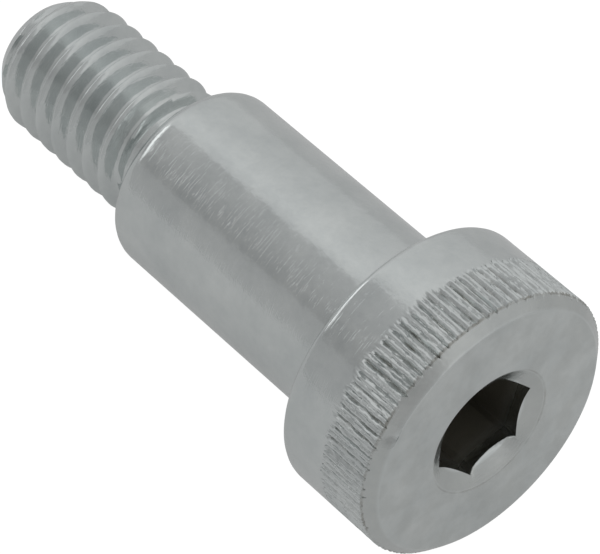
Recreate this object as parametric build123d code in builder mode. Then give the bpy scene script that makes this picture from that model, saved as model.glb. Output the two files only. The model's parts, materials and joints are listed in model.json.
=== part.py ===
"""Socket-head shoulder bolt: 1/2 inch ground shoulder, 3/8-16 thread, straight-knurled head.

The bolt is one turned, rolled and broached piece. It lies as it comes to rest,
on the back rim of its head and the end of its thread, so its axis leans down
towards the thread. The origin is the middle of the shoulder, on the bolt's axis.
+X runs towards the thread and +Z is up. Millimetres throughout.
"""
import os
from math import atan2, cos, radians, sin, sqrt, tan

from build123d import *

# head
head_radius = 9.35
head_height = 7.9
face_chamfer_radial = 0.83
face_chamfer_axial = 0.74
head_back_round = 0.5

# straight knurl on the front of the head
knurl_count = 78
knurl_length = 4.15
knurl_depth = 0.26
knurl_flank_angle = 90.0

# hexagon socket, with a countersunk mouth and a drilled point below it
socket_across_flats = 6.35
socket_depth = 4.9
socket_angle = 52.0
countersink_radius = 4.4
countersink_angle = 120.0
drill_radius = 3.1
drill_point_angle = 118.0

# ground shoulder
shoulder_radius = 6.325
shoulder_length = 20.3
shoulder_end_round = 1.2

# 3/8-16 thread
thread_radius = 4.73
thread_length = 14.5
thread_pitch = 25.4 / 16
thread_depth = 0.6134 * thread_pitch
thread_root_width = thread_pitch / 4
thread_flank_angle = 60.0
groove_overlap = 0.05
thread_neck_radius = 3.72
thread_neck_width = 1.65
tip_chamfer_radial = 1.2
tip_chamfer_axial = 2.0

# stations along the axis, from the middle of the shoulder
seat = -shoulder_length / 2
face = seat - head_height
shoulder_end = shoulder_length / 2
tip = shoulder_end + thread_length

# The lean is that of the straight line that touches the round of the head's
# back rim and the last full turn of the thread.
rim_centre_radius = head_radius - head_back_round
rim_centre = seat - head_back_round
rest_turn = tip - tip_chamfer_axial
rest_run = rest_turn - rim_centre
rest_drop = rim_centre_radius - thread_radius
lean = atan2(rest_drop, rest_run) + atan2(head_back_round, sqrt(rest_run**2 + rest_drop**2))

along = Vector(cos(lean), 0, -sin(lean))
outward = Vector(sin(lean), 0, cos(lean))
sideways = Vector(0, 1, 0)
bolt_axis = Axis((0, 0, 0), along)


def station(position):
    """The plane across the bolt at a distance along its axis, facing the thread end."""
    return Plane(origin=along * position, x_dir=sideways, z_dir=along)


# The section plane holds the axis: its x runs along the bolt and its y outward.
section = Plane(origin=(0, 0, 0), x_dir=along, z_dir=along.cross(outward))

with BuildPart() as shoulder_bolt:
    # the turned blank, from the head's face round to the thread's end
    with BuildSketch(section):
        with BuildLine():
            Polyline(
                (face, 0),
                (face, head_radius - face_chamfer_radial),
                (face + face_chamfer_axial, head_radius),
                (seat - head_back_round, head_radius),
            )
            RadiusArc(
                (seat - head_back_round, head_radius),
                (seat, head_radius - head_back_round),
                head_back_round,
            )
            Polyline(
                (seat, head_radius - head_back_round),
                (seat, shoulder_radius),
                (shoulder_end - shoulder_end_round, shoulder_radius),
            )
            RadiusArc(
                (shoulder_end - shoulder_end_round, shoulder_radius),
                (shoulder_end, shoulder_radius - shoulder_end_round),
                shoulder_end_round,
            )
            Polyline(
                (shoulder_end, shoulder_radius - shoulder_end_round),
                (shoulder_end, thread_neck_radius),
                (shoulder_end + thread_neck_width, thread_neck_radius),
                (shoulder_end + thread_neck_width + 0.5, thread_radius),
                (tip - tip_chamfer_axial, thread_radius),
                (tip, thread_radius - tip_chamfer_radial),
                (tip, 0),
                (face, 0),
            )
        make_face()
    revolve(axis=bolt_axis)

    # the thread: one groove that starts past the tip and runs out in the neck
    groove_start = shoulder_end + thread_neck_width / 2
    groove_height = tip - groove_start + thread_pitch
    groove_path = Helix(
        thread_pitch, groove_height, thread_radius,
        center=along * groove_start, direction=along,
    )
    root = thread_radius - thread_depth
    crest = thread_radius + groove_overlap
    crest_width = thread_root_width + 2 * (crest - root) * tan(radians(thread_flank_angle / 2))
    groove_centre = along * groove_start
    groove_outward = (groove_path @ 0 - groove_centre).normalized()
    groove_plane = Plane(groove_centre, x_dir=groove_outward, z_dir=groove_outward.cross(along))
    with BuildSketch(groove_plane):
        with BuildLine():
            Polyline(
                (root, -thread_root_width / 2),
                (crest, -crest_width / 2),
                (crest, crest_width / 2),
                (root, thread_root_width / 2),
                close=True,
            )
        make_face()
    sweep(path=groove_path, is_frenet=True, mode=Mode.SUBTRACT)

    # the knurl: V grooves from the face chamfer to the middle of the head
    groove_half_width = 2 * knurl_depth * tan(radians(knurl_flank_angle / 2))
    with BuildSketch(station(face)):
        with PolarLocations(0, knurl_count):
            Polygon(
                (head_radius - knurl_depth, 0),
                (head_radius + knurl_depth, groove_half_width),
                (head_radius + knurl_depth, -groove_half_width),
                align=None,
            )
    extrude(amount=knurl_length, mode=Mode.SUBTRACT)

    # the socket
    with BuildSketch(station(face)):
        RegularPolygon(socket_across_flats / 2, 6, major_radius=False, rotation=socket_angle)
    extrude(amount=socket_depth, mode=Mode.SUBTRACT)
    drill_point = drill_radius / tan(radians(drill_point_angle / 2))
    countersink_depth = countersink_radius / tan(radians(countersink_angle / 2))
    with BuildSketch(section):
        Polygon(
            (face, 0), (face, countersink_radius), (face + countersink_depth, 0), align=None
        )
        Polygon(
            (face, 0),
            (face, drill_radius),
            (face + socket_depth, drill_radius),
            (face + socket_depth + drill_point, 0),
            align=None,
        )
    revolve(axis=bolt_axis, mode=Mode.SUBTRACT)

shoulder_bolt.part.label = "shoulder_bolt"

os.makedirs("parts", exist_ok=True)
export_step(shoulder_bolt.part, "parts/shoulder_bolt.step")
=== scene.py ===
# %% [markdown]
# # A shoulder bolt in clear zinc plating
#
# A shoulder bolt is a pivot: a machine part turns on its smooth ground shoulder
# while its smaller thread holds it to a frame. This lesson dresses the packed
# CAD bolt with the surface that the real one has: a rolled thread with round
# crests, a rough straight knurl, a broached socket and a thin coat of zinc.
#
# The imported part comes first, because every size and place is taken from it.

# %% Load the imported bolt
import json
from math import cos, pi, radians, sin, tan

import bpy
import numpy as np
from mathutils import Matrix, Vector


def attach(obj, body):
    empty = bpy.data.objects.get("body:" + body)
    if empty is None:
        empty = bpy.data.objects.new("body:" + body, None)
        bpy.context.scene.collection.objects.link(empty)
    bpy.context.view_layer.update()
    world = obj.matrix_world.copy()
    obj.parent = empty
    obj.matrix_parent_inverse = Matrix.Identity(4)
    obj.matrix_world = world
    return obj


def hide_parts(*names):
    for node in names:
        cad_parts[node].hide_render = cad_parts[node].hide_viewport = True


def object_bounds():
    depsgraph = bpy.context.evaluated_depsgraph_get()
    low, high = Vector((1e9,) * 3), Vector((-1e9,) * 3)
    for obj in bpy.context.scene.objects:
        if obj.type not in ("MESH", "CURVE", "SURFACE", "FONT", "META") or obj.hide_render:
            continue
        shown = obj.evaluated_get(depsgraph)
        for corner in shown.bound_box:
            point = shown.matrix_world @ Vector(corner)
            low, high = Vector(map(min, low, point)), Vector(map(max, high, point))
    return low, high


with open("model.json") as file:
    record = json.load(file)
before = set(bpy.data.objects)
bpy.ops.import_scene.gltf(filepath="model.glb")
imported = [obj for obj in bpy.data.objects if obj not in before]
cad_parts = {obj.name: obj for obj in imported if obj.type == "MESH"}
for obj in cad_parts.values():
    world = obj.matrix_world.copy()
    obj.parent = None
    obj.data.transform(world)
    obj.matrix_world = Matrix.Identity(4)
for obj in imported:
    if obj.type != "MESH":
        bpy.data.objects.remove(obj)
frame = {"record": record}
cad_box = [list(corner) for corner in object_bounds()]
bpy.ops.object.select_all(action="DESELECT")
print("the bolt's box in millimetres:", [[round(c * 1000, 2) for c in p] for p in cad_box])

# %% [markdown]
# The bolt's own axes come next. It lies on the back rim of its head and on the
# end of its thread, so its axis leans down. The shoulder's mount in the packed
# record gives that axis, and everything else is turned on it, as on a lathe:
# `along` runs from the head to the thread, and a radius has an angle round it.

# %% The bolt's axis
MM = 0.001
mounts = {mount["name"]: mount for mount in frame["record"]["mounts"]}
along = Vector(mounts["shoulder"]["axis"]).normalized()
sideways = Vector((0, 1, 0))
upward = sideways.cross(along) * -1
print("the axis leans", round(-along.z, 4), "down for each 1 along")

# %% [markdown]
# The sizes are those of the CAD bolt, in millimetres. A place along the axis is
# counted from the middle of the shoulder, which is the frame's origin.

# %% The bolt's sizes in millimetres
SHOULDER_RADIUS = mounts["shoulder"]["dims"]["r_mm"]
HEAD_RADIUS = 9.35
HEAD_HEIGHT = 7.9
CHAMFER_RADIAL = 0.83
BACK_ROUND = 0.5
END_ROUND = 1.2
FACE = Vector(mounts["key_socket"]["pos_m"]).dot(along) / MM
SEAT = FACE + HEAD_HEIGHT
SHOULDER_END = -SEAT
TIP = SHOULDER_END + 14.5

SOCKET_APOTHEM = 6.35 / 2
SOCKET_ANGLE = radians(52)
SOCKET_DEPTH = 4.9
COUNTERSINK_RADIUS = 4.4
DRILL_RADIUS = 3.1
DRILL_DEPTH = SOCKET_DEPTH + DRILL_RADIUS / tan(radians(59))

THREAD_RADIUS = 4.73
THREAD_PITCH = 25.4 / 16
THREAD_DEPTH = 0.6134 * THREAD_PITCH
NECK_RADIUS = 3.72
NECK_WIDTH = 1.65
TIP_CHAMFER_RADIAL = 1.2
TIP_CHAMFER_AXIAL = 2.0
print("head face at", round(FACE, 2), "mm, tip at", round(TIP, 2), "mm along the axis")

# %% [markdown]
# The camera looks down on the bolt from the side of its head, far off and with
# a long lens, so that the shoulder hardly tapers. A level camera with no roll is
# placed by three things: the point it looks at, its bearing and its height angle.

# %% Camera
AIM = Vector((-0.93, 0.13, -0.52)) * MM
CAMERA_BEARING = radians(139.59)
CAMERA_HEIGHT = radians(56.57)
CAMERA_DISTANCE = 237.0 * MM

camera_data = bpy.data.cameras.new("studio_camera")
camera_data.lens = 233.5
camera_data.sensor_width = 36
camera_data.clip_start = 0.01
camera_data.clip_end = 20
camera = bpy.data.objects.new("studio_camera", camera_data)
bpy.context.scene.collection.objects.link(camera)
toward_camera = Vector(
    (
        cos(CAMERA_HEIGHT) * cos(CAMERA_BEARING),
        cos(CAMERA_HEIGHT) * sin(CAMERA_BEARING),
        sin(CAMERA_HEIGHT),
    )
)
camera.location = AIM + toward_camera * CAMERA_DISTANCE
camera.rotation_euler = toward_camera.to_track_quat("Z", "Y").to_euler()
bpy.context.scene.camera = camera
bpy.context.scene.view_settings.view_transform = "Standard"
print("camera at", [round(c, 4) for c in camera.location])

# %% [markdown]
# Light and finish are both built from nodes, so the one function that adds a
# node comes first. An input is given by its name, with underscores for spaces,
# or by its number, as i0 or i1. It takes a value, or a socket to link from.

# %% One function adds a node with its settings and links
def add_node(tree, kind, settings=None, **inputs):
    node = tree.nodes.new(kind)
    for name, value in (settings or {}).items():
        setattr(node, name, value)
    for name, value in inputs.items():
        key = int(name[1:]) if name[0] == "i" and name[1:].isdigit() else name.replace("_", " ")
        if isinstance(value, bpy.types.NodeSocket):
            tree.links.new(value, node.inputs[key])
        else:
            node.inputs[key].default_value = value
    return node


def srgb(hex_colour):
    """A hex colour as the linear colour that a shader takes."""
    values = [int(hex_colour[k : k + 2], 16) / 255 for k in (1, 3, 5)]
    linear = [v / 12.92 if v <= 0.04045 else ((v + 0.055) / 1.055) ** 2.4 for v in values]
    return (*linear, 1.0)


print("mid grey is", round(srgb("#808080")[0], 3), "in linear light")

# %% [markdown]
# Steel shows its surroundings more than its own colour. Long soft panels hang
# beside the bolt, parallel to it, so each leaves one straight band down the
# shoulder. They are drawn in the world: the angle of a direction round the
# bolt's axis picks the brightness from a ramp. The ramp is a list of angles and
# levels, where 0 degrees is sideways and 90 is up, and two close angles make a
# panel's sharp edge.

# %% The panels round the bolt
PANEL_LEVEL = 0.53
PANELS = [
    (-60, 0.95),
    (4, 0.85),
    (36, 0.78),
    (38, 0.64),
    (49, 0.68),
    (73, 0.85),
    (93, 0.92),
    (95, 1.20),
    (109, 1.33),
    (121, 1.25),
    (145, 1.15),
    (178, 1.08),
]


def fill_ramp(ramp, panels):
    """Gives a colour ramp one stop for each panel edge."""
    while len(ramp.elements) > 1:
        ramp.elements.remove(ramp.elements[-1])
    for index, (degrees_round, level) in enumerate(panels):
        place = (degrees_round + 180) / 360
        element = ramp.elements[0] if index == 0 else ramp.elements.new(place)
        element.position = place
        element.color = (level, level, level, 1)
    print("ramp with", len(ramp.elements), "stops")


# %% The world that holds the panels
world = bpy.data.worlds.new("studio_panels")
bpy.context.scene.world = world
world.use_nodes = True
tree = world.node_tree
tree.nodes.clear()
direction = add_node(tree, "ShaderNodeTexCoord").outputs["Generated"]
across, above = (
    add_node(
        tree, "ShaderNodeVectorMath", {"operation": "DOT_PRODUCT"}, i0=direction, i1=axis
    ).outputs["Value"]
    for axis in (sideways, upward)
)
turn = add_node(tree, "ShaderNodeMath", {"operation": "ARCTAN2"}, i0=above, i1=across)
place = add_node(
    tree, "ShaderNodeMapRange", None, Value=turn.outputs[0], From_Min=-pi, From_Max=pi
)
panels = add_node(tree, "ShaderNodeValToRGB", None, Fac=place.outputs[0])
fill_ramp(panels.color_ramp, PANELS)
panel_light = add_node(
    tree, "ShaderNodeBackground", None, Color=panels.outputs[0], Strength=PANEL_LEVEL
)
white = add_node(tree, "ShaderNodeBackground", None, Color=(1, 1, 1, 1), Strength=1.0)
seen = add_node(tree, "ShaderNodeLightPath").outputs["Is Camera Ray"]
mix = add_node(
    tree, "ShaderNodeMixShader", None, i0=seen, i1=panel_light.outputs[0], i2=white.outputs[0]
)
add_node(tree, "ShaderNodeOutputWorld", None, Surface=mix.outputs[0])
print(world.name, "has", len(tree.nodes), "nodes")

# %% [markdown]
# The thread's crests and the turning marks need one small bright lamp. It stands
# beyond the thread's end, where the straight shoulder can't mirror it but every
# round crest can.

# %% Lamp beyond the thread
LAMP_TURN = radians(66)
LAMP_FROM_AXIS = radians(33)
LAMP_DISTANCE = 0.5
LAMP_SIZE = (0.30, 0.14)
LAMP_WATTS = 0.11

across_axis = sideways * cos(LAMP_TURN) + upward * sin(LAMP_TURN)
toward_lamp = along * cos(LAMP_FROM_AXIS) + across_axis * sin(LAMP_FROM_AXIS)
lamp_data = bpy.data.lights.new("glint_lamp", "AREA")
lamp_data.shape = "RECTANGLE"
lamp_data.size, lamp_data.size_y = LAMP_SIZE
lamp_data.energy = LAMP_WATTS
lamp = bpy.data.objects.new("glint_lamp", lamp_data)
bpy.context.scene.collection.objects.link(lamp)
lamp.location = toward_lamp * LAMP_DISTANCE
lamp.rotation_euler = toward_lamp.to_track_quat("Z", "Y").to_euler()
print("lamp at", [round(c, 3) for c in lamp.location])

# %% [markdown]
# The floor is white paper. Matt white paper in soft light comes out grey, so most
# of what the camera sees of it is a glow, mixed with enough real paper to keep a
# faint shadow. The steel mirrors a second, dimmer glow, because the underside of
# the bolt faces the paper from close by and would otherwise turn white or, with
# no glow at all, go black in its own shadow. Light Path tells the rays apart.

# %% The paper's two glows
SEEN_SHARE, MIRRORED_SHARE = 0.85, 0.55
SEEN_WHITE, MIRRORED_WHITE = 1.15, 0.50
floor_material = bpy.data.materials.new("matt_white_paper")
floor_material.use_nodes = True
tree = floor_material.node_tree
tree.nodes.clear()
rays = add_node(tree, "ShaderNodeLightPath").outputs
mirrored = add_node(
    tree, "ShaderNodeMath", {"operation": "MULTIPLY"}, i0=rays["Is Glossy Ray"], i1=MIRRORED_SHARE
)
share, glow_level = (
    add_node(
        tree,
        "ShaderNodeMath",
        {"operation": "MULTIPLY_ADD"},
        i0=rays["Is Camera Ray"],
        i1=added_for_camera,
        i2=for_all,
    )
    for added_for_camera, for_all in (
        (SEEN_SHARE, mirrored.outputs[0]),
        (SEEN_WHITE - MIRRORED_WHITE, MIRRORED_WHITE),
    )
)
print("the steel mirrors the paper at", MIRRORED_WHITE, "of white")

# %% The floor
paper = add_node(tree, "ShaderNodeBsdfDiffuse", None, Color=srgb("#F6F6F6"))
glow = add_node(
    tree, "ShaderNodeEmission", None, Color=(1, 1, 1, 1), Strength=glow_level.outputs[0]
)
mix = add_node(
    tree,
    "ShaderNodeMixShader",
    None,
    i0=share.outputs[0],
    i1=paper.outputs[0],
    i2=glow.outputs[0],
)
add_node(tree, "ShaderNodeOutputMaterial", None, Surface=mix.outputs[0])

floor_height = cad_box[0][2]
bpy.ops.mesh.primitive_plane_add(size=3, location=(0, 0, floor_height))
floor = bpy.context.object
floor.name = "studio_floor"
floor.data.materials.append(floor_material)
bpy.ops.object.select_all(action="DESELECT")
print("floor at", round(floor_height / MM, 2), "mm")

# %% [markdown]
# The bolt's skin is a sheet wrapped round the axis. Spinning an edge would give a
# plain lathe shape, and then the hexagon, the knurl and the helix would each need
# a cut of their own. So a flat grid is added instead, with one column for each
# step round the bolt and one row for each station along its section, and every
# vertex is moved to its place. A function of the angle and the station gives the
# radius. The two long edges then meet, and the end rows shrink to points, so
# merging doubles closes the skin.

# %% Wrap a grid round the axis
def wrap_grid(name, columns, stations, shape):
    """A closed skin. shape(angle, row, stations) gives the place on the axis and the radius."""
    bpy.ops.object.select_all(action="DESELECT")
    rows = len(stations)
    bpy.ops.mesh.primitive_grid_add(x_subdivisions=columns, y_subdivisions=rows - 1, size=1)
    piece = bpy.context.object
    piece.name = name
    mesh = piece.data
    flat = np.zeros(len(mesh.vertices) * 3)
    mesh.vertices.foreach_get("co", flat)
    flat = flat.reshape(-1, 3)
    angle = (flat[:, 0] + 0.5) * 2 * pi
    angle[np.isclose(flat[:, 0], 0.5)] = 0.0
    row = np.rint((flat[:, 1] + 0.5) * (rows - 1)).astype(int)
    position, radius = shape(angle, row, np.array(stations, float))
    placed = (
        position[:, None] * np.array(along)
        + (radius * np.cos(angle))[:, None] * np.array(sideways)
        + (radius * np.sin(angle))[:, None] * np.array(upward)
    ) * MM
    mesh.vertices.foreach_set("co", placed.ravel())
    mesh.update()
    bpy.ops.object.mode_set(mode="EDIT")
    bpy.ops.mesh.select_all(action="SELECT")
    bpy.ops.mesh.remove_doubles(threshold=1e-6)
    bpy.ops.mesh.normals_make_consistent(inside=False)
    bpy.ops.object.mode_set(mode="OBJECT")
    print(name, len(mesh.vertices), "vertices", len(mesh.polygons), "faces")
    return piece


# %% [markdown]
# The hexagon is a wall at one depth and a curved edge at the mouth, where the
# cone of the countersink cuts it. In polar form a hexagon's radius is its
# apothem over a cosine, and the cone then gives the depth of each point of the
# edge. One side of that edge is slightly round. The round is a few rows of the
# wall, each tilted a little further, and it fades out towards the corners.

# %% The hexagon and its cone
CONE_HALF_ANGLE = radians(60)


def hexagon_radius(angle):
    sector = np.mod(angle - SOCKET_ANGLE, pi / 3) - pi / 6
    return SOCKET_APOTHEM / np.cos(sector)


def countersink_depth(radius):
    return (COUNTERSINK_RADIUS - radius) / tan(CONE_HALF_ANGLE)


corner_radius = float(hexagon_radius(np.array([SOCKET_ANGLE]))[0])
print("hexagon corners at", round(corner_radius, 2), "mm from the axis")

# %% The round edge and the rows of the wall
LIP_RADIUS = 0.26
LIP_ANGLE = radians(262)
LIP_HALF_WIDTH = radians(31)
LIP_FADE = radians(6)
LIP_TILTS = [radians(a) for a in (0, 0, 8, 16, 26, 36, 47, 60)]
LIP_DROPS = [cos(tilt) - cos(radians(60)) for tilt in LIP_TILTS]
LIP_DEPTHS = [LIP_RADIUS * (sin(radians(60)) - sin(tilt)) for tilt in LIP_TILTS]
WALL_DEPTHS = [SOCKET_DEPTH - 0.5] + LIP_DEPTHS[1:]
HEX_FLOOR = 2
HEX_MOUTH = HEX_FLOOR + len(WALL_DEPTHS) - 1
WALL_ROWS = range(HEX_FLOOR, HEX_MOUTH + 1)


def shape_socket(angle, row, depth, radius):
    """Turns the wall's rows into a hexagon and sets the cone's first row."""
    hexagon = hexagon_radius(angle)
    in_socket = (row >= HEX_FLOOR) & (row <= HEX_MOUTH)
    wall_depth = countersink_depth(hexagon) + np.interp(row, WALL_ROWS, WALL_DEPTHS)
    depth = np.where(in_socket, wall_depth, depth)
    lip = LIP_RADIUS * np.interp(row, WALL_ROWS, LIP_DROPS)
    lip_turn = np.abs(np.mod(angle - LIP_ANGLE + pi, 2 * pi) - pi)
    lip_share = np.clip((LIP_HALF_WIDTH - lip_turn) / LIP_FADE, 0, 1)
    radius = np.where(in_socket, hexagon - lip * lip_share, radius)
    on_cone = row == HEX_MOUTH + 1
    cone_radius = np.maximum(radius, (hexagon + COUNTERSINK_RADIUS) / 2)
    radius = np.where(on_cone, cone_radius, radius)
    depth = np.where(on_cone, countersink_depth(cone_radius), depth)
    return depth, radius


print("the wall has", len(WALL_ROWS), "rows")

# %% [markdown]
# The knurl gives fingers a grip. It is pressed in by a coarse wheel that slips
# and tears, so its grooves vary in depth, lean a little and stop raggedly. Each has
# a second, shallower line beside it. A seeded generator gives each groove its own
# depth, width, lean and length. A fixed field of small random heights roughens the
# whole band.

# %% A groove's own numbers
HEAD_COLUMNS = 1080
KNURL_COUNT = 78
KNURL_START = 0.74
KNURL_END = 4.15
TEAR_ROWS = 64
TEAR_ROWS_PER_MM = 9
TEAR_HEIGHT = 0.016

rng = np.random.default_rng(7)
groove_step = 2 * pi / KNURL_COUNT
groove_shift = rng.normal(0, 0.05, KNURL_COUNT) * groove_step
groove_depth = rng.uniform(0.18, 0.30, KNURL_COUNT)
groove_width = rng.uniform(0.12, 0.22, KNURL_COUNT)
groove_lean = rng.normal(0.0, 0.012, KNURL_COUNT)
groove_end = KNURL_END + rng.normal(0, 0.10, KNURL_COUNT)
groove_wave = rng.uniform(0, 2 * pi, (KNURL_COUNT, 3))
tear_field = rng.normal(0, 1, (TEAR_ROWS, HEAD_COLUMNS))
print("grooves are", round(groove_step * HEAD_RADIUS, 3), "mm apart")

# %% The depth of the cut
MINOR_WIDTH = 0.12
MINOR_SHARE = 0.45


def torn(angle, depth_in):
    """Rough torn metal: the fixed field, read by angle and depth."""
    columns = np.mod(np.rint(angle / (2 * pi) * HEAD_COLUMNS).astype(int), HEAD_COLUMNS)
    rows = np.clip(np.rint(depth_in * TEAR_ROWS_PER_MM).astype(int), 0, TEAR_ROWS - 1)
    return TEAR_HEIGHT * tear_field[rows, columns]


def knurl_cut(angle, depth_in):
    """How deep the knurl cuts at an angle and at a distance from the head's face."""
    cut = np.zeros_like(angle)
    nearest = np.rint(angle / groove_step).astype(int)
    for offset in (-1, 0, 1):
        k = np.mod(nearest + offset, KNURL_COUNT)
        centre = (nearest + offset) * groove_step + groove_shift[k]
        across_mm = (angle - centre) * HEAD_RADIUS + groove_lean[k] * (depth_in - 2.4)
        across_mm += 0.015 * np.sin(4.0 * depth_in + groove_wave[k, 0])
        uneven = 0.88 + 0.12 * np.sin(2.6 * depth_in + groove_wave[k, 1])
        fade = np.clip((groove_end[k] - depth_in) / 0.12, 0, 1)
        full_depth = groove_depth[k] * uneven * fade
        valley = np.clip(1 - np.abs(across_mm) / groove_width[k], 0, 1)
        minor_mm = across_mm - groove_step * HEAD_RADIUS * (0.35 + groove_width[k])
        minor = np.clip(1 - np.abs(minor_mm) / MINOR_WIDTH, 0, 1)
        cut = np.maximum(cut, full_depth * np.maximum(valley, MINOR_SHARE * minor))
    inside = np.clip((KNURL_END + 0.2 - depth_in) / 0.3, 0, 1)
    return cut + torn(angle, depth_in) * inside


middle_cut = knurl_cut(np.linspace(0, 2 * pi, HEAD_COLUMNS), np.full(HEAD_COLUMNS, 2.4))
print("deepest cut at mid length:", round(float(middle_cut.max()), 2), "mm")

# %% [markdown]
# The knurl is cut before the chamfer is turned, so a vertex lies on whichever is
# nearer to the axis, and the chamfer's rim comes out serrated. A knock has left
# one dent on that rim.

# %% The knurl and the dent on the head
DENT_ANGLE = radians(39)
DENT_DEPTH_IN = 0.35
DENT_DEEP = 0.26
DENT_HALF_WIDTH = 0.45
DENT_HALF_LENGTH = 0.30


def shape_rim(angle, row, depth, radius):
    """Cuts the knurl and presses in the dent."""
    outside = (row > HEX_MOUTH + 1) & (depth > 0.1) & (depth < KNURL_END + 0.5)
    knurled = HEAD_RADIUS - knurl_cut(angle, depth)
    radius = np.where(outside & (radius > 8.6), np.minimum(radius, knurled), radius)
    dent = ((angle - DENT_ANGLE) * HEAD_RADIUS / DENT_HALF_WIDTH) ** 2
    dent += ((depth - DENT_DEPTH_IN) / DENT_HALF_LENGTH) ** 2
    on_chamfer = (depth > 0.05) & (depth < 1.0) & (radius > 8.0)
    return np.where(on_chamfer, radius - DENT_DEEP * np.exp(-dent), radius)


print("dent at", round(DENT_ANGLE * HEAD_RADIUS, 1), "mm round the rim")

# %% [markdown]
# Now the section itself, as the tool path of a lathe: from the drill point out
# over the face, down the chamfer and the head, along the shoulder and in again at
# its end. Each station is a distance from the head's face and a radius. Rows are
# close together where the shape turns and in the knurl, and far apart elsewhere.

# %% Stations of the socket, the face and the chamfer
def arc_stations(centre, radius, steps):
    """A quarter round of the section, from outward to along the axis."""
    angles = [radians(90 * k / steps) for k in range(steps + 1)]
    return [(centre[0] + radius * sin(a), centre[1] + radius * cos(a)) for a in angles]


chamfer_start = HEAD_RADIUS - CHAMFER_RADIAL
section = [(DRILL_DEPTH, 0.0), (SOCKET_DEPTH, DRILL_RADIUS)]
section += [(SOCKET_DEPTH, SOCKET_APOTHEM)] * len(WALL_ROWS)
section += [(0.22, COUNTERSINK_RADIUS - 0.38), (0.035, COUNTERSINK_RADIUS - 0.06)]
section += [(0.0, COUNTERSINK_RADIUS + 0.02), (0.0, COUNTERSINK_RADIUS + 0.12)]
section += [(0.0, radius) for radius in (5.2, 6.3, 7.4, 8.2, chamfer_start - 0.12)]
section += [(0.02, chamfer_start), (0.09, chamfer_start + 0.09)]
section += [
    (depth, HEAD_RADIUS - CHAMFER_RADIAL * (1 - depth / KNURL_START))
    for depth in (0.20, 0.30, 0.38, 0.45, 0.51, 0.57, 0.63, 0.69, KNURL_START)
]
print(len(section), "stations as far as the chamfer's rim")

# %% Stations of the head's side and the shoulder
shoulder_length = SHOULDER_END - SEAT
knurl_rows = np.linspace(KNURL_START + 0.16, KNURL_END + 0.45, 24)
section += [(depth, HEAD_RADIUS) for depth in (KNURL_START + 0.05, *knurl_rows, 5.2, 5.9, 6.6)]
section += arc_stations((HEAD_HEIGHT - BACK_ROUND, HEAD_RADIUS - BACK_ROUND), BACK_ROUND, 5)
section += [(HEAD_HEIGHT, 7.6), (HEAD_HEIGHT, SHOULDER_RADIUS + 0.12)]
section += [(HEAD_HEIGHT + 0.12, SHOULDER_RADIUS)]
section += [
    (HEAD_HEIGHT + depth, SHOULDER_RADIUS)
    for depth in np.linspace(1.0, shoulder_length - END_ROUND - 0.6, 14)
]
section += arc_stations(
    (HEAD_HEIGHT + shoulder_length - END_ROUND, SHOULDER_RADIUS - END_ROUND), END_ROUND, 8
)
section += [(HEAD_HEIGHT + shoulder_length, 4.2), (HEAD_HEIGHT + shoulder_length, 0.0)]
print(len(section), "stations in all")

# %% The head and the shoulder in one skin
def head_and_shoulder(angle, row, stations):
    depth, radius = stations[row, 0], stations[row, 1]
    depth, radius = shape_socket(angle, row, depth, radius)
    return FACE + depth, shape_rim(angle, row, depth, radius)


head_piece = wrap_grid("head_and_shoulder", HEAD_COLUMNS, section, head_and_shoulder)

# %% [markdown]
# The thread is rolled between dies, so its crests and roots are round and it has
# no burrs. Its section is one pitch of a 60 degree V, cut flat at the crest and
# the root. Blurring that section rounds its corners as the dies do. Along the
# bolt and round it, only the phase of the section changes, and that makes the
# helix. It is cut back by the neck behind the shoulder and by the tip's bevel.

# %% One pitch of the rolled section
CREST_PLACE = 17.86
CORNER_BLUR = 0.075
SAMPLES = 3001
samples = np.linspace(-1.5, 1.5, SAMPLES) * THREAD_PITCH
folded = np.abs(np.mod(samples + THREAD_PITCH / 2, THREAD_PITCH) - THREAD_PITCH / 2)
crest_half = THREAD_PITCH / 16
v_section = np.clip((folded - crest_half) * tan(radians(60)), 0, THREAD_DEPTH)
kernel_reach = np.arange(-0.25, 0.2501, samples[1] - samples[0])
kernel = np.exp(-0.5 * (kernel_reach / CORNER_BLUR) ** 2)
smooth_section = np.convolve(v_section, kernel / kernel.sum(), mode="same")
smooth_section -= smooth_section[SAMPLES // 3 : 2 * SAMPLES // 3].min()
root_depth = float(smooth_section.max())
print("root is", round(root_depth, 3), "mm below the crest")

# %% The thread
THREAD_COLUMNS = 480
ROWS_PER_PITCH = 16
NECK_SLOPE = tan(radians(62))
thread_rows = int((TIP - SHOULDER_END - 0.2) / THREAD_PITCH * ROWS_PER_PITCH)
thread_section = [(SHOULDER_END - 1.0, 0.0), (SHOULDER_END - 1.0, NECK_RADIUS)]
thread_section += [
    (place, THREAD_RADIUS) for place in np.linspace(SHOULDER_END + 0.1, TIP, thread_rows)
]
thread_section += [(TIP, 3.0), (TIP, 0.0)]


def rolled_thread(angle, row, stations):
    place, radius = stations[row, 0], stations[row, 1]
    phase = (place - CREST_PLACE) / THREAD_PITCH - angle / (2 * pi)
    phase -= np.rint(phase)
    threaded = THREAD_RADIUS - np.interp(phase * THREAD_PITCH, samples, smooth_section)
    neck = NECK_RADIUS + np.maximum(place - SHOULDER_END - NECK_WIDTH, 0) * NECK_SLOPE
    bevel_share = (place - TIP + TIP_CHAMFER_AXIAL) / TIP_CHAMFER_AXIAL
    bevel = THREAD_RADIUS - TIP_CHAMFER_RADIAL * np.clip(bevel_share, 0, 1) ** 1.3
    body = (row >= 2) & (row < len(stations) - 2)
    return place, np.where(body, np.minimum(np.minimum(threaded, neck), bevel), radius)


thread_piece = wrap_grid("rolled_thread", THREAD_COLUMNS, thread_section, rolled_thread)

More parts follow.
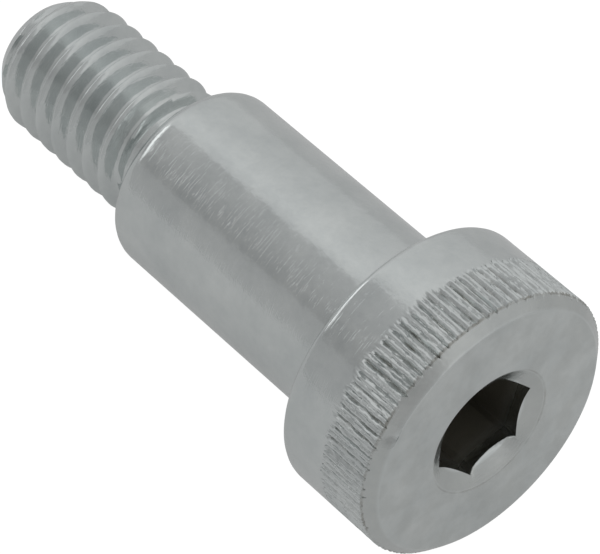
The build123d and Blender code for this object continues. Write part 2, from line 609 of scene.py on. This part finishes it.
# %% [markdown]
# A mirror finish shows every facet, so both skins are shaded smooth. Edges that
# are sharp on the real bolt, as at the socket's mouth and the knurl, stay sharp,
# because only edges flatter than a given angle are smoothed. The thread has none,
# so its angle is wide.

# %% Smooth shading that keeps the true edges
for piece, angle in ((head_piece, 32), (thread_piece, 60)):
    bpy.ops.object.select_all(action="DESELECT")
    piece.select_set(True)
    bpy.context.view_layer.objects.active = piece
    bpy.ops.object.shade_smooth_by_angle(angle=radians(angle))
    print(piece.name, "is smooth below", angle, "degrees")

# %% [markdown]
# The finish is clear zinc, plated a few thousandths of a millimetre thick on
# turned steel. To the eye it is a pale grey mirror with a trace of blue, slightly
# cloudy. Its colour also carries painted shade in the socket, in the knurl's grooves,
# along two rims and on the chamfer and the cone, and a light film on the face, and
# both make it duller. One metal shader can give all of it, if its colour and
# roughness follow the bolt. So the material first works out where a point is: how
# far along the axis, how far from it and at what turn.

# %% Where a point is on the bolt
zinc = bpy.data.materials.new("clear_zinc_plated_steel")
zinc.use_nodes = True
tree = zinc.node_tree
tree.nodes.clear()
output = add_node(tree, "ShaderNodeOutputMaterial")
steel = add_node(tree, "ShaderNodeBsdfPrincipled", None, Metallic=1.0)
tree.links.new(steel.outputs[0], output.inputs["Surface"])

place = add_node(tree, "ShaderNodeTexCoord").outputs["Object"]
axial, height, width = (
    add_node(
        tree, "ShaderNodeVectorMath", {"operation": "DOT_PRODUCT"}, i0=place, i1=axis
    ).outputs["Value"]
    for axis in (along, upward, sideways)
)
axis_point = add_node(
    tree, "ShaderNodeVectorMath", {"operation": "SCALE"}, i0=tuple(along), Scale=axial
).outputs["Vector"]
from_axis = add_node(
    tree, "ShaderNodeVectorMath", {"operation": "SUBTRACT"}, i0=place, i1=axis_point
).outputs["Vector"]
radius = add_node(
    tree, "ShaderNodeVectorMath", {"operation": "LENGTH"}, i0=from_axis
).outputs["Value"]
turn = add_node(tree, "ShaderNodeMath", {"operation": "ARCTAN2"}, i0=height, i1=width).outputs[0]
print("the material knows a point's place along, from and round the axis")

# %% [markdown]
# Three noises make it uneven. Cloudy blotches are 4 mm across, as the plating's
# brightness varies. Patches of 1.5 mm break up the painted shade in the grooves and
# along the rims, and the film on the face. The zinc's orange peel is really finer
# than 0.5 mm, and is drawn that coarse so that it shows.

# %% Noises at real sizes
NOISES = {
    "blotches": (4.0, 6.0, 0.7),
    "patches": (1.5, 4.0, 0.5),
    "peel": (0.5, 3.0, 0.5),
}
noise = {}
for name, (size_mm, detail, roughness) in NOISES.items():
    noise[name] = add_node(
        tree,
        "ShaderNodeTexNoise",
        None,
        Vector=place,
        Scale=1 / (size_mm * MM),
        Detail=detail,
        Roughness=roughness,
    ).outputs["Fac"]
    print(name, "are", size_mm, "mm across")

zinc_colour = add_node(tree, "ShaderNodeValToRGB", None, Fac=noise["blotches"])
for element, position, hex_colour in zip(
    zinc_colour.color_ramp.elements, (0.3, 0.7), ("#CBD0D0", "#DEE2E1")
):
    element.position = position
    element.color = srgb(hex_colour)

# %% [markdown]
# The painted shade and the film need to know where they lie. Each band below is a
# share that rises or falls between two sizes in millimetres: a radius, a place along
# the axis, or the distance from the countersink's rim or the chamfer's rim. Two more
# spread a noise onto the range it is needed in. They are all the same node, so a
# list holds them.

# %% Bands in millimetres
offsets = {}
for name, value, centre in (
    ("rim_off", radius, COUNTERSINK_RADIUS * MM),
    ("edge_off", axial, (FACE + 0.70) * MM),
):
    distance = add_node(tree, "ShaderNodeMath", {"operation": "SUBTRACT"}, i0=value, i1=centre)
    offsets[name] = add_node(
        tree, "ShaderNodeMath", {"operation": "ABSOLUTE"}, i0=distance.outputs[0]
    ).outputs[0]

BANDS = {
    "narrow": (radius, 4.1, 4.3, 1.0, 0.0),
    "deep": (axial, FACE + 0.9, FACE + 2.3, 0.0, 1.0),
    "in_head": (axial, SEAT, SEAT + 0.5, 1.0, 0.0),
    "cut_in": (radius, 9.10, 9.27, 1.0, 0.0),
    "not_inner": (radius, 8.80, 8.90, 0.0, 1.0),
    "past_rim": (axial, FACE + 0.6, FACE + 0.75, 0.0, 1.0),
    "ring": (offsets["rim_off"], 0.03, 0.10, 0.5, 0.0),
    "near_face": (axial, FACE + 0.1, FACE + 0.3, 1.0, 0.0),
    "outer": (radius, 8.45, 8.75, 0.0, 1.0),
    "before_knurl": (axial, FACE + 0.72, FACE + 0.80, 0.20, 0.0),
    "edge": (offsets["edge_off"], 0.03, 0.12, 1.0, 0.0),
    "face": (axial, FACE + 0.01, FACE + 0.05, 0.14, 0.0),
    "in_cone": (radius, 4.25, 4.40, 0.22, 0.0),
    "past_hexagon": (radius, 3.25, 3.40, 0.0, 1.0),
}
NOISE_BANDS = {
    "patchy": (noise["patches"], 0.35, 0.65, 0.25, 1.0),
    "shine": (noise["blotches"], 0.3, 0.7, 0.11, 0.18),
}
share = {}
in_metres = [
    (name, value, low * MM, high * MM, at_low, at_high)
    for name, (value, low, high, at_low, at_high) in BANDS.items()
]
plain = [(name, *band) for name, band in NOISE_BANDS.items()]
for name, value, low, high, at_low, at_high in in_metres + plain:
    share[name] = add_node(
        tree,
        "ShaderNodeMapRange",
        {"interpolation_type": "SMOOTHSTEP"},
        Value=value,
        From_Min=low,
        From_Max=high,
        To_Min=at_low,
        To_Max=at_high,
    ).outputs[0]
print(len(share), "bands")

# %% [markdown]
# The bands are then multiplied to say "here and here", and the larger of two says
# "here or here". Painted shade darkens the socket, more further down, and the
# knurl's grooves. A painted dark line runs along the broken edge of the chamfer's
# rim above them, and another in the turned ring round the mouth. Painted shade also
# lies lightly on the chamfer and the cone, and a light film covers the face.

# %% Where the painted shade and the film lie
SHADE_AND_FILM_STEPS = (
    # painted shade in the socket, darker further down
    ("socket", "MULTIPLY", "narrow", "deep"),
    ("socket", "MULTIPLY", "socket", "in_head"),
    # painted shade in the knurl's grooves, darker where they cut deeper
    ("groove", "MULTIPLY", "cut_in", "not_inner"),
    ("groove", "MULTIPLY", "groove", "past_rim"),
    ("groove", "MULTIPLY", "groove", "in_head"),
    # a painted dark line round the countersink's rim, standing for its shading
    ("ring", "MULTIPLY", "ring", "near_face"),
    # painted shade on the chamfer
    ("chamfer", "MULTIPLY", "outer", "before_knurl"),
    # a painted dark line along the chamfer's rim, standing for a shadow under the burr
    ("edge", "MULTIPLY", "outer", "edge"),
    # painted shade: the grooves and the two dark rim lines, broken up by patches
    ("groove_and_rim_shade", "MAXIMUM", "groove", "ring"),
    ("groove_and_rim_shade", "MAXIMUM", "groove_and_rim_shade", "edge"),
    ("groove_and_rim_shade", "MULTIPLY", "groove_and_rim_shade", "patchy"),
    ("groove_and_rim_shade", "MULTIPLY", "groove_and_rim_shade", 0.7),
    ("film", "MULTIPLY", "face", "patchy"),
    # painted shade on the countersink's cone
    ("cone", "MULTIPLY", "in_cone", "past_hexagon"),
    ("cone", "MULTIPLY", "cone", "in_head"),
    # all the painted shade and the face's film in one share
    ("painted_shade_and_film", "MAXIMUM", "socket", "groove_and_rim_shade"),
    ("painted_shade_and_film", "MAXIMUM", "painted_shade_and_film", "film"),
    ("painted_shade_and_film", "MAXIMUM", "painted_shade_and_film", "chamfer"),
    ("painted_shade_and_film", "MAXIMUM", "painted_shade_and_film", "cone"),
)
for result, operation, first, second in SHADE_AND_FILM_STEPS:
    share[result] = add_node(
        tree,
        "ShaderNodeMath",
        {"operation": operation},
        i0=share[first],
        i1=share.get(second, second),
    ).outputs[0]
print("soil is worked out in", len(SHADE_AND_FILM_STEPS), "steps")

# %% [markdown]
# The painted shade and the film darken the zinc towards a warm grey and make it
# rougher, so that it mirrors less. Clean zinc has a roughness of 0.11 to 0.18, a
# little cloudier than polished steel.

# %% Colour and roughness
SHADE_AND_FILM_ROUGHNESS = 0.35
# the warm grey is mostly painted shade; on the face it is a film
shade_and_film_mix = add_node(
    tree,
    "ShaderNodeMix",
    {"data_type": "RGBA"},
    i0=share["painted_shade_and_film"],
    i6=zinc_colour.outputs[0],
    i7=srgb("#8A877E"),
)
tree.links.new(shade_and_film_mix.outputs[2], steel.inputs["Base Color"])
dulled = add_node(
    tree,
    "ShaderNodeMath",
    {"operation": "MULTIPLY_ADD"},
    i0=share["painted_shade_and_film"],
    i1=SHADE_AND_FILM_ROUGHNESS,
    i2=share["shine"],
)
tree.links.new(dulled.outputs[0], steel.inputs["Roughness"])
print("soil adds", SHADE_AND_FILM_ROUGHNESS, "to the roughness")

# %% [markdown]
# Fine turning scratches run round the bolt. A noise that reads the place along
# and from the axis in fractions of a millimetre, and the turn in much longer
# steps, is stretched into short lines round it. On the face the same noise makes
# rings. Real turning marks are finer than would show here, so these are drawn
# 0.09 mm wide. The lines and the orange peel share one bump.

# %% Turning scratches and orange peel
SCRATCH_WIDTH = 0.09
FACE_RING_WIDTH = 0.25
SCRATCHES_PER_RADIAN = 5.0
SCRATCH_SHARE = -0.16
RELIEF_HEIGHT = 0.015

stretched = {}
for name, value, scale in (
    ("X", axial, 1 / (SCRATCH_WIDTH * MM)),
    ("Y", turn, SCRATCHES_PER_RADIAN),
    ("Z", radius, 1 / (FACE_RING_WIDTH * MM)),
):
    stretched[name] = add_node(
        tree, "ShaderNodeMath", {"operation": "MULTIPLY"}, i0=value, i1=scale
    ).outputs[0]
round_place = add_node(tree, "ShaderNodeCombineXYZ", None, **stretched)
lines = add_node(
    tree, "ShaderNodeTexNoise", None, Vector=round_place.outputs[0], Scale=1.0, Detail=2.0
)
scratched = add_node(
    tree,
    "ShaderNodeMapRange",
    {"interpolation_type": "SMOOTHSTEP"},
    Value=lines.outputs["Fac"],
    From_Min=0.54,
    From_Max=0.66,
)
relief = add_node(
    tree,
    "ShaderNodeMath",
    {"operation": "MULTIPLY_ADD"},
    i0=scratched.outputs[0],
    i1=SCRATCH_SHARE,
    i2=noise["peel"],
)
bump = add_node(
    tree,
    "ShaderNodeBump",
    None,
    Height=relief.outputs[0],
    Strength=1.0,
    Distance=RELIEF_HEIGHT * MM,
)
tree.links.new(bump.outputs[0], steel.inputs["Normal"])
print(zinc.name, "has", len(tree.nodes), "nodes")

# %% [markdown]
# Last, the pieces go to the frame. The bolt is one rigid part, so both skins ride
# on the root body, take the plated steel's slot and stand for the CAD bolt, which
# stays behind for collisions.

# %% Hand the pieces to the frame
for piece in (head_piece, thread_piece):
    piece.data.materials.clear()
    piece.data.materials.append(zinc)
    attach(piece, "root")
    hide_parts("shoulder_bolt")
